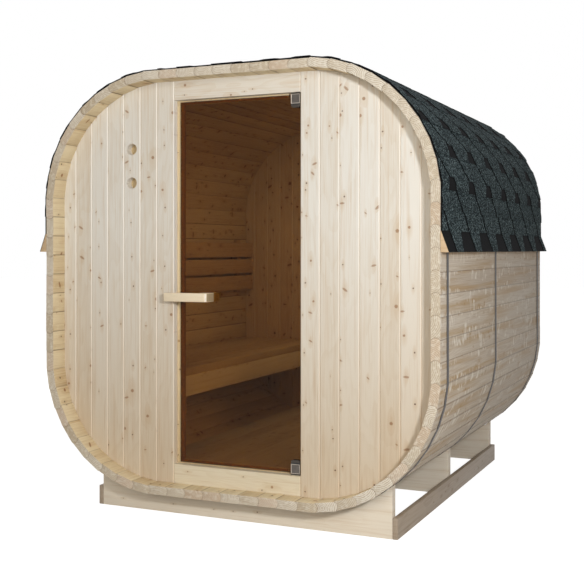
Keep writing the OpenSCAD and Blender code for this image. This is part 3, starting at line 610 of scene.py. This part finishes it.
def ease_edges(thing, width_mm, smooth=None):
    """Rounds the sharp edges of a piece, and shades it smooth across angles of less than smooth degrees."""
    limit = math.radians(40)
    modify(thing, "BEVEL", width=width_mm * MM, segments=2, limit_method="ANGLE", angle_limit=limit)
    if smooth:
        bpy.ops.object.shade_smooth_by_angle(angle=math.radians(smooth))


def cut_away(thing, cutter):
    """Cuts the shape of another piece out, and removes that piece."""
    modify(thing, "BOOLEAN", object=cutter, operation="DIFFERENCE", solver="EXACT")
    bpy.data.objects.remove(cutter, do_unlink=True)


def settled(name):
    """Applies the place, turn and scale of the newest object, so that its origin is the frame's."""
    thing = bpy.context.object
    bpy.ops.object.transform_apply()
    thing.name = name
    return thing


def box_between(name, low, high):
    """A block between two corners, ready to be shaped."""
    bpy.ops.object.select_all(action="DESELECT")
    middle = [(a + b) / 2 for a, b in zip(low, high)]
    size = [b - a for a, b in zip(low, high)]
    bpy.ops.mesh.primitive_cube_add(size=1.0, location=middle, scale=size)
    return settled(name)


def rod_along_y(name, sides, radius, length, middle_y):
    """A rod about the Y axis, ready to be shaped."""
    bpy.ops.object.select_all(action="DESELECT")
    place = {"location": (0.0, middle_y, 0.0), "rotation": (math.radians(90), 0.0, 0.0)}
    bpy.ops.mesh.primitive_cylinder_add(vertices=sides, radius=radius, depth=length, **place)
    return settled(name)


def dress(mesh, *materials):
    """Gives a mesh these finishes in place of any it has."""
    mesh.materials.clear()
    for material in materials:
        mesh.materials.append(material)


def merged_copy(node, name):
    """A node's shape as a new piece of joined faces, left open in edit mode."""
    piece = bpy.data.objects.new(name, nodes[node].data.copy())
    piece.data.materials.clear()
    scene.collection.objects.link(piece)
    edit(piece)
    bpy.ops.mesh.remove_doubles(threshold=1e-5)
    return piece


def again(node, name):
    """A node's shape as one clean mesh, to be worked on as a new piece."""
    piece = merged_copy(node, name)
    bpy.ops.mesh.dissolve_limited(angle_limit=math.radians(0.5))
    leave_edit()
    return piece


def hand_over(piece, body, slot, *stands_for):
    """Ties a finished piece to its body and hides the nodes it stands for; slot is not used."""
    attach(piece, body)
    if stands_for:
        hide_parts(*stands_for)


# ---- Staves ----
def stave_blank():
    """One ball-and-cove stave along Y, its cove about the origin and its inner face up."""
    half = STAVE_T / 2
    lip = math.sqrt(BALL_R**2 - half**2)
    stave = box_between("stave_blank", (0.0, SHELL_FRONT, -half), (STAVE_W + lip, SHELL_BACK, half))
    # The ball edge: the side face is drawn out in steps round its arc, nearly to a point
    edit(stave, faces=lambda face: face.normal.x > 0.9)
    arc = math.asin(half / BALL_R)
    for k in range(BALL_STEPS):
        now, then = (arc * (1 - j / (BALL_STEPS + 0.6)) for j in (k, k + 1))
        run = BALL_R * (math.cos(then) - math.cos(now))
        bpy.ops.mesh.extrude_region_move(TRANSFORM_OT_translate={"value": (run, 0.0, 0.0)})
        bpy.ops.transform.resize(value=(1.0, 1.0, math.sin(then) / math.sin(now)))
    leave_edit()
    middle_y = (SHELL_FRONT + SHELL_BACK) / 2
    cut_away(stave, rod_along_y("cove", 40, BALL_R + COVE_PLAY, SHELL_LEN + 2 * OVERCUT, middle_y))
    # The grooves that hold the end walls
    for wall in ("front_wall_left", "rear_wall_left"):
        low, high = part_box(wall)
        start = (-STAVE_W, low[1] - CROZE_PLAY, half - CROZE_DEPTH)
        end = (2 * STAVE_W, high[1] + CROZE_PLAY, half + CROZE_DEPTH)
        cut_away(stave, box_between("croze", start, end))

    # The outer long edges are eased more than the rest
    def outer_long(first, second):
        outer = max(first.z, second.z) < -half + NEAR
        return outer and abs(first.x - second.x) < 0.1 * NEAR and abs(first.y - second.y) > SHELL_LEN / 2

    edit(stave, edges=outer_long)
    bpy.ops.mesh.bevel(offset=3.5 * MM, segments=3, affect="EDGES")
    leave_edit()
    ease_edges(stave, 1.6, smooth=35)
    where = stave.data.attributes.new("stave_place", "FLOAT_VECTOR", "POINT")
    for spot, corner in zip(where.data, stave.data.vertices):
        spot.vector = (corner.co.x - STAVE_W / 2, corner.co.z, corner.co.y)
    dress(stave.data, staves)
    return stave


def stave_ring():
    """Lays the staves round the shell, none quite flush with the next, and joins each run."""
    blank = stave_blank()
    luck = random.Random(7)
    point = Vector((-FLAT_STAVES * STAVE_W / 2, 0.0, SHELL_Z - RING_HALF))
    runs = {}
    for i in range(4 * SIDE_STAVES):
        side, place = divmod(i, SIDE_STAVES)
        heading = math.radians(90 * side + BEND * max(0, place - FLAT_STAVES + 1))
        inward = Vector((-math.sin(heading), 0.0, math.cos(heading)))
        stave = blank.copy()
        stave.data = blank.data.copy()
        scene.collection.objects.link(stave)
        front, back, sunk = (luck.uniform(0, most) for most in (END_PLAY, END_PLAY, SINK_PLAY))
        stave.location = point + inward * sunk + Vector((0.0, (front - back) / 2, 0.0))
        stave.rotation_euler = (0.0, -heading, 0.0)
        stave.scale = (1.0, 1.0 - (front + back) / SHELL_LEN, 1.0)
        number = stave.data.attributes.new("stave_number", "FLOAT", "POINT")
        number.data.foreach_set("value", [float(i)] * len(stave.data.vertices))
        runs.setdefault((side, place >= FLAT_STAVES), []).append(stave)
        point = point + STAVE_W * Vector((math.cos(heading), 0.0, math.sin(heading)))
    # For each side, its flat run and the corner after it
    names = (("bottom", "bottom_right"), ("right", "top_right"), ("top", "top_left"), ("left", "bottom_left"))
    for (side, corner), members in runs.items():
        only(*members)
        bpy.ops.object.transform_apply()
        bpy.ops.object.join()
        where = names[side][corner]
        members[0].name = "stave_run_" + where
        hand_over(members[0], "sauna", "stave_pine", "staves_" + where)
    bpy.data.objects.remove(blank, do_unlink=True)


stave_ring()


# ---- Roof ----
def roof_normal(point):
    """Outward direction of the roof above a point, in the plane across the hut."""
    across = max(abs(point[0]) - CORNER_C, 0.0) * math.copysign(1.0, point[0])
    return Vector((across, 0.0, max(point[2] - SHELL_Z - CORNER_C, 0.0))).normalized()


def roof_run(point):
    """Distance up the roof from the middle of its side, near enough to sort the courses."""
    wide, high = abs(point[0]), point[2] - SHELL_Z
    turn = math.atan2(max(high - CORNER_C, 0.0), max(wide - CORNER_C, 1e-6))
    return min(high, CORNER_C) + ROOF_R * turn + CORNER_C - min(wide, CORNER_C)


def roof_solids():
    """Every strip of the roof as a piece of its own, with where it lies, and the course above each course."""
    solids = []
    for node in ROOF_NODES:
        whole = merged_copy(node, node.replace("shingles", "shingle_roof"))
        bpy.ops.mesh.separate(type="LOOSE")
        leave_edit()
        for solid in [whole] + [o for o in bpy.context.selected_objects if o is not whole]:
            # Copies, because a vertex's own place is lost once the piece is edited
            points = [v.co.copy() for v in solid.data.vertices]
            xs = [p.x for p in points]
            runs = [roof_run(p) for p in points]
            on_ridge = min(xs) < -RIDGE_HALF and max(xs) > RIDGE_HALF
            length = max(runs) - min(runs)
            entry = {
                "solid": solid,
                "node": node,
                "x": sum(xs) / len(xs),
                "run": min(runs),
                "start": min(points, key=roof_run),
                "course": not on_ridge and length < FELT_LENGTH,
                "felt": length >= FELT_LENGTH or (on_ridge and max(xs) - min(xs) > FELT_WIDTH),
            }
            solids.append(entry)
    for side in (-1, 1):
        courses = [c for c in solids if c["course"] and c["x"] * side > 0]
        courses.sort(key=lambda c: c["run"])
        for course, above in zip(courses, courses[1:]):
            # The left side's last course stays whole, so its granules show through the slits over it
            if side > 0 or course["node"] == above["node"]:
                course["above"] = above
    return solids


def slit_side(face):
    """The rear side of a tab, but not the roof's own ends."""
    return face.normal.y > 0.5 and SHELL_FRONT + ROOF_END < face.center.y < SHELL_BACK - ROOF_END


def lay_granules(entry):
    """Opens the slits of a strip, cuts it where the next course starts to cover it, and gives its faces
    their finish: granules only in the weather, and black felt and cut edges elsewhere."""
    solid = entry["solid"]
    # The tabs' rear sides are cut back, so that the slits show as dark lines
    edit(solid, faces=slit_side)
    bpy.ops.transform.translate(value=(0.0, -SLIT_WIDER, 0.0))
    leave_edit()
    above = entry.get("above")
    if above:
        start = above["start"]
        normal = roof_normal(start)
        upward = Vector((-normal.z, 0.0, normal.x)) * math.copysign(1.0, start.x)
        edit(solid)
        bpy.ops.mesh.bisect(plane_co=start, plane_no=upward)
        leave_edit()
    dress(solid.data, granules, black_granules)
    for face in solid.data.polygons:
        covered = above and (face.center - start).dot(upward) > NEAR
        level = face.normal.dot(roof_normal(face.center)) > 0.8
        # The lower edge is bent over the felt and keeps its granules; cut sides are bare bitumen
        lower = abs(face.normal.y) < 0.1 and face.normal.z < 0.3
        face.material_index = 1 if entry["felt"] or covered or not (level or lower) else 0


def shingle_roof():
    """The roof's strips with their finishes, joined again as they were."""
    solids = roof_solids()
    for entry in solids:
        lay_granules(entry)
    for node in ROOF_NODES:
        members = [c["solid"] for c in solids if c["node"] == node]
        only(*members)
        bpy.ops.object.join()
        hand_over(members[0], "sauna", "bitumen_shingle", node)


shingle_roof()


# ---- Timber with eased edges ----
def eased(node, name, slot, width_mm, *materials, body="sauna"):
    """A node again with its sharp edges taken off, as sandpaper leaves them."""
    piece = again(node, name)
    ease_edges(piece, width_mm, smooth=30)
    dress(piece.data, *materials)
    hand_over(piece, body, slot, node)
    return piece


for where in ("front", "middle", "rear"):
    eased("cradle_" + where, "cradle_board_" + where, "base_pine", 2.0, cradle_pine_painted_light)
for where in ("left", "right"):
    eased("base_rail_" + where, "rail_beam_" + where, "base_pine", 2.5, base_rail)
    eased("eave_wedge_" + where, "eave_board_" + where, "planed_spruce", 1.5, eave_board)
for where in ("head", "threshold", "left"):
    eased("door_stop_" + where, "stop_strip_" + where, "planed_spruce", 1.5, stop_wood)
eased("bench_seat", "bench_boards", "interior_spruce", 3.0, inside_x)
eased("bench_fascia", "bench_front_board", "interior_spruce", 3.0, bench_front_painted_light)
eased("backrest_boards", "backrest_slats", "interior_spruce", 3.0, inside_z)
for where in ("outer", "inner"):
    woods = (handle_wood, handle_chamfer_highlight, handle_end)
    handle = eased("door_handle_" + where, "handle_wood_" + where, "handle_wood", 2.5, *woods, body="door")
    # The right end shows end grain; the chamfers facing right, towards the lamp, carry a painted highlight
    for face in handle.data.polygons:
        if face.normal.x > 0.95:
            face.material_index = woods.index(handle_end)
        elif 0.6 < face.normal.x < 0.8 and abs(face.normal.z) < 0.1 and face.area > SLIVER:
            face.material_index = woods.index(handle_chamfer_highlight)


# ---- Door ----
def door_pane():
    """The pane with arrised edges, which look darker than its faces."""
    pane = box_between("door_pane", *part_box("door_glass"))
    modify(pane, "BEVEL", width=1.0 * MM, segments=2, limit_method="NONE")
    dress(pane.data, glass, glass_edge)
    for face in pane.data.polygons:
        face.material_index = 0 if abs(face.normal.y) > 0.99 else 1
    hand_over(pane, "door", "bronze_glass", "door_glass")


def stop_seal():
    """Brown rubber strip on the stops, which the pane closes against."""
    pane_low, pane_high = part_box("door_glass")
    side_low, side_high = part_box("door_stop_left")
    head_low, head_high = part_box("door_stop_head")
    sill_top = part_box("door_stop_threshold")[1][2]
    left, right = pane_low[0] + SEAL_GAP, head_high[0] - MM
    back = side_low[1]
    front = back - SEAL_T
    # The upright bar laps the other two, and wraps round the stop's inner edge
    wrapped = (side_high[0] + 2 * MM, back + SEAL_WRAP, head_low[2] + SEAL_LAP)
    bars = []
    for name, low, high in (
        ("stop_seal", (left, front, sill_top - SEAL_LAP), wrapped),
        ("seal_head", (left, front, head_low[2] + SEAL_GAP), (right, back, pane_high[2] - MM)),
        ("seal_sill", (left, front, pane_low[2] + MM), (right, back, sill_top - SEAL_GAP)),
    ):
        bar = box_between(name, low, high)
        modify(bar, "BEVEL", width=2.0 * MM, segments=3, limit_method="NONE")
        dress(bar.data, seal_rubber)
        bars.append(bar)
    only(*bars)
    bpy.ops.object.join()
    bpy.ops.object.shade_smooth_by_angle(angle=math.radians(40))
    hand_over(bars[0], "sauna", "dark_steel")


def socket_screw():
    """Cap screw with a hexagon socket, its head towards +Y and its foot on the plane y = 0."""
    screw = rod_along_y("socket_screw", 24, 4.5 * MM, HEAD_H, HEAD_H / 2)
    cut_away(screw, rod_along_y("socket", 6, 2.3 * MM, 3.0 * MM, 2.6 * MM))
    ease_edges(screw, 0.4)
    dress(screw.data, chrome)
    return screw


def hinge_clamp(where, screw):
    """A glass clamp: a body with a rounded end, on each side a cover plate and a rubber band, and screws."""
    node = "hinge_clamp_" + where
    low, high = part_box(node)
    pane_low, pane_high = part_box("door_glass")
    middle_y = (pane_low[1] + pane_high[1]) / 2
    # The end on the glass, the way from there to the frame, and where the plates stop, clear of the pane
    if where == "bottom":
        end, to_frame, plate_end = high[2], -1, pane_low[2] - PLATE_PAST
    else:
        end, to_frame, plate_end = low[2], 1, pane_high[2] + PLATE_PAST
    plate_start = end + to_frame * PLATE_START
    clamp = again(node, "clamp_body_" + where)

    # The corners of that end are rounded
    def across_end(first, second):
        at_end = abs(first.z - end) < NEAR and abs(second.z - end) < NEAR
        return at_end and abs(first.y - second.y) > MM and abs(first.x - second.x) < 0.1 * NEAR

    edit(clamp, edges=across_end)
    bpy.ops.mesh.bevel(offset=9 * MM, segments=5, affect="EDGES")
    leave_edit()
    ease_edges(clamp, 0.8, smooth=35)
    dress(clamp.data, chrome_body_dark_reflection)
    hand_over(clamp, "door", "polished_chrome", node)

    def laid_on(name, side, inset, proud, start, stop):
        """A block let into one face of the clamp, between two heights."""
        face_y = middle_y + side * CLAMP_HALF
        back, front = sorted((face_y - side * LET_IN, face_y + side * proud))
        foot, top = sorted((start, stop))
        return box_between(name, (low[0] + inset, back, foot), (high[0] - inset, front, top))

    for side, which in ((-1, "_out"), (1, "_in")):
        plate = laid_on("clamp_plate_" + where + which, side, 0.4 * MM, 1.6 * MM, plate_start, plate_end)
        # A bevelled rim with a painted highlight round a satin field with a painted dark reflection
        edit(plate, faces=lambda face, side=side: face.normal.y * side > 0.9)
        bpy.ops.mesh.inset(thickness=2.4 * MM, depth=0.0)
        bpy.ops.transform.translate(value=(0.0, -side * 0.5 * MM, 0.0))
        leave_edit()
        dress(plate.data, chrome_rim_highlight, satin_field_dark_reflection)
        for face in plate.data.polygons:
            face.material_index = 1 if face.select and face.normal.y * side > 0.9 else 0
        ease_edges(plate, 0.5)
        hand_over(plate, "door", "polished_chrome")
        band_ends = (end + to_frame * BAND_START, end + to_frame * BAND_STOP)
        band = laid_on("clamp_band_" + where + which, side, 0.6 * MM, 0.8 * MM, *band_ends)
        modify(band, "BEVEL", width=0.5 * MM, segments=2, limit_method="NONE")
        dress(band.data, black_rubber)
        hand_over(band, "door", "dark_steel")
    for side, which in ((-1, "_1"), (1, "_2")):
        twin = screw.copy()
        twin.data = screw.data.copy()
        twin.name = "clamp_screw_" + where + which
        scene.collection.objects.link(twin)
        beside = (low[0] + high[0] + side * SCREW_APART) / 2
        twin.location = (beside, middle_y + SCREW_FOOT, (plate_start + plate_end) / 2)
        only(twin)
        bpy.ops.object.transform_apply()
        hand_over(twin, "door", "polished_chrome")


door_pane()
stop_seal()
clamp_screw = socket_screw()
for where in ("top", "bottom"):
    hinge_clamp(where, clamp_screw)
bpy.data.objects.remove(clamp_screw, do_unlink=True)

# ---- The nodes that stay, by how their names start; any other is planed spruce of the room ----
FINISHES = {
    "door_header": crosscut,
    "door_sill": sill_wood,
    "floor_deck": floor_wood,
    "rear_wall": rear_boards,
    "front_wall": planed,
    "strap": steel,
    "pivot_plates": steel,
    "backrest": inside_z,
}
for node, thing in nodes.items():
    if not thing.hide_render:
        dress(thing.data, next((FINISHES[start] for start in FINISHES if node.startswith(start)), inside_x))


# ---- Studio ----
def two_faced(tree, output, lit, seen):
    """Sends one surface to the object's lighting, and another to the camera, mirrors and glass."""
    path = add(tree, "LightPath").outputs
    rays = path["Is Camera Ray"]
    for other in ("Is Glossy Ray", "Is Transmission Ray"):
        rays = add(tree, "Math", {0: rays, 1: path[other]}, operation="MAXIMUM")
    add(tree, output, {"Surface": add(tree, "MixShader", {0: rays, 1: lit, 2: seen})})


def studio_lamp(name, place, turn, size, power, colour):
    """A soft lamp, which the camera doesn't see."""
    lamp = bpy.data.lights.new(name, "AREA")
    lamp.shape = "RECTANGLE"
    lamp.size, lamp.size_y = size
    lamp.energy = power
    lamp.color = colour
    holder = bpy.data.objects.new(name, lamp)
    holder.location = place
    holder.rotation_euler = turn
    holder.visible_camera = False
    scene.collection.objects.link(holder)
    return holder


def studio():
    """White floor and backdrop, a small key lamp from the right, soft fill from both ends, and the camera."""
    bpy.ops.mesh.primitive_plane_add(size=60.0, location=(0.0, 0.0, 0.0))
    floor = bpy.context.object
    floor.name = "studio_floor"
    material, tree = new_material("white_studio_floor")
    matte = add(tree, "BsdfDiffuse", {"Color": (0.56, 0.53, 0.48, 1.0)})
    # The camera sees white, kept a little darker where the object shades the floor
    white = add(tree, "Emission", {"Color": (1.0, 1.0, 1.0, 1.0), "Strength": 0.93})
    shaded = add(tree, "BsdfDiffuse", {"Color": (0.4, 0.4, 0.4, 1.0)})
    two_faced(tree, "OutputMaterial", matte, add(tree, "AddShader", {0: white, 1: shaded}))
    dress(floor.data, material)

    scene.world = bpy.data.worlds.new("studio")
    scene.world.use_nodes = True
    tree = scene.world.node_tree
    tree.nodes.clear()
    dim = add(tree, "Background", {"Color": (1.0, 0.95, 0.88, 1.0), "Strength": 0.24})
    bright = add(tree, "Background", {"Color": (1.0, 1.0, 1.0, 1.0), "Strength": 1.0})
    two_faced(tree, "OutputWorld", dim, bright)

    aim = Vector((0.0, -1.0, 1.1))
    for name, place, size, power, colour in (
        ("key", (3.0, -4.4, 1.9), 0.36, 88.0, (0.97, 0.99, 1.0)),
        ("front_fill", (1.6, -8.0, 3.0), 3.0, 134.0, (1.0, 0.94, 0.83)),
        ("back_fill", (-4.4, 4.6, 2.6), 3.0, 95.0, (1.0, 0.97, 0.92)),
    ):
        turn = (aim - Vector(place)).to_track_quat("-Z", "Y").to_euler()
        studio_lamp(name, place, turn, (size, size), power, colour)
    # A soft lamp under the ceiling, as the light inside a heated hut; mirrors and glass don't show it either
    turn = (math.radians(24.0), 0.0, 0.0)
    cabin = studio_lamp("cabin", (0.22, 0.28, 1.88), turn, (0.8, 0.6), 6.0, (1.0, 0.93, 0.82))
    cabin.visible_glossy = False
    cabin.visible_transmission = False

    lens = bpy.data.cameras.new("camera")
    lens.lens = 64.19
    lens.sensor_width = 36.0
    lens.shift_x = 0.0560
    lens.shift_y = -0.0728
    camera = bpy.data.objects.new("camera", lens)
    camera.location = (2.210, -5.515, 1.300)
    camera.rotation_euler = (math.radians(90.0), 0.0, math.radians(25.132))
    scene.collection.objects.link(camera)
    scene.camera = camera
    scene.view_settings.view_transform = "Standard"


studio()
